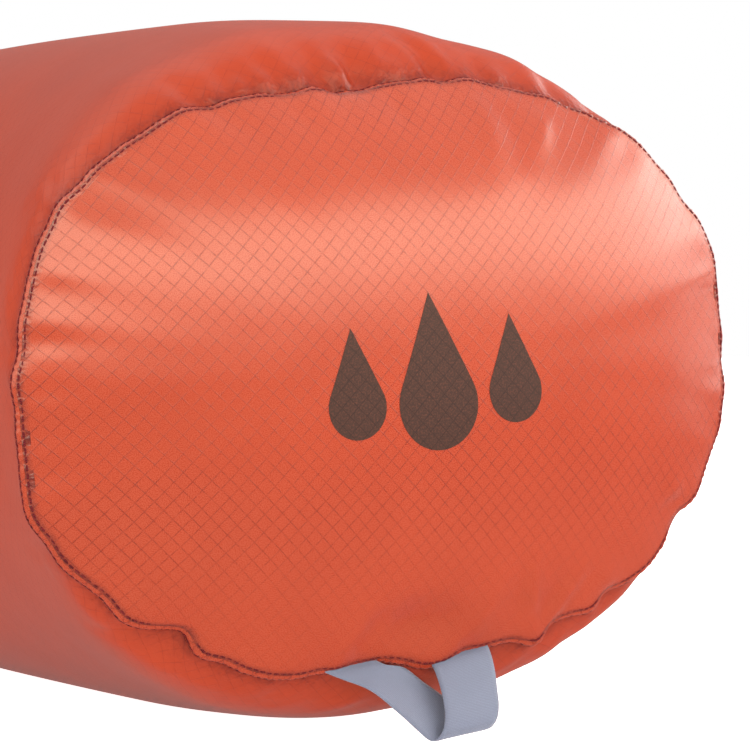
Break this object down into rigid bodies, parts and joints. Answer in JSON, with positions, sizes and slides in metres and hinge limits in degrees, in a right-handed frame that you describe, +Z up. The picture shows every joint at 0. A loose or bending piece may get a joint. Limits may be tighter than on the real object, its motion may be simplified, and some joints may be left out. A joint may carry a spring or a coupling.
{
  "type": "roll-top stuff sack",
  "caption": "Filled roll-top stuff sack lying on its side, with an oval stitched base, a ribbon pull loop in the base seam and a rolled mouth closed by a side-release buckle",
  "frame": {"origin": "Middle of the flat patch that the sack rests on", "axes": "+Y along the sack from its base to its rolled mouth, +X to the right when facing +Y, +Z up"},
  "size_m": [0.319, 0.6446, 0.2912],
  "materials": {
    "sack_fabric": "coated ripstop, satin sheen",
    "base_fabric": "coated ripstop, satin sheen",
    "ink": "screen-printed ink, matt",
    "thread": "polyester thread",
    "dark_thread": "polyester thread",
    "seam_tape": "heat-sealed tape, glossy",
    "stiffener": "flexible strip",
    "webbing": "woven polyester webbing",
    "ribbon": "fine ribbed ribbon",
    "buckle_plastic": "moulded acetal, fine texture"
  },
  "bodies": {
    "sack": {"body_tube": "sack_fabric", "base_panel": "base_fabric", "base_print": "ink", "base_seam_welt": "sack_fabric", "base_stitch_front": "thread", "base_stitch_rear": "thread", "base_seam_tape": "seam_tape", "side_seam_fell": "sack_fabric", "side_stitch_upper": "thread", "side_stitch_lower": "thread", "side_seam_tape": "seam_tape", "rolled_collar": "sack_fabric", "mouth_stiffener": "stiffener", "left_webbing_tab": "webbing", "right_webbing_tab": "webbing", "left_tab_stitching": "dark_thread", "right_tab_stitching": "dark_thread", "buckle_socket": "buckle_plastic", "loop_stitching": "thread"},
    "loop": {"pull_loop": "ribbon"},
    "plug": {"buckle_plug": "buckle_plastic"},
    "prong_upper": {"upper_prong": "buckle_plastic"},
    "prong_lower": {"lower_prong": "buckle_plastic"}
  },
  "joints": [
    {"name": "loop_swing", "type": "hinge", "parent": "sack", "child": "loop", "pos_m": [0.01493, -0.24092, 0.03198], "axis": [-0.9969, -0.0041, -0.0784], "range_deg": [0, 50]},
    {"name": "buckle_release", "type": "slide", "parent": "sack", "child": "plug", "axis": [1, 0, 0], "range_m": [0, 0.024], "deforming": ["upper_prong", "lower_prong", "right_webbing_tab", "right_tab_stitching"]},
    {"name": "upper_prong_squeeze", "type": "hinge", "parent": "plug", "child": "prong_upper", "pos_m": [0.0106, 0.367, 0.1545], "axis": [0, -1, 0], "range_deg": [0, 8], "stiffness_Nm_per_rad": 0.05},
    {"name": "lower_prong_squeeze", "type": "hinge", "parent": "plug", "child": "prong_lower", "pos_m": [0.0106, 0.367, 0.1335], "axis": [0, 1, 0], "range_deg": [0, 8], "stiffness_Nm_per_rad": 0.05}
  ]
}
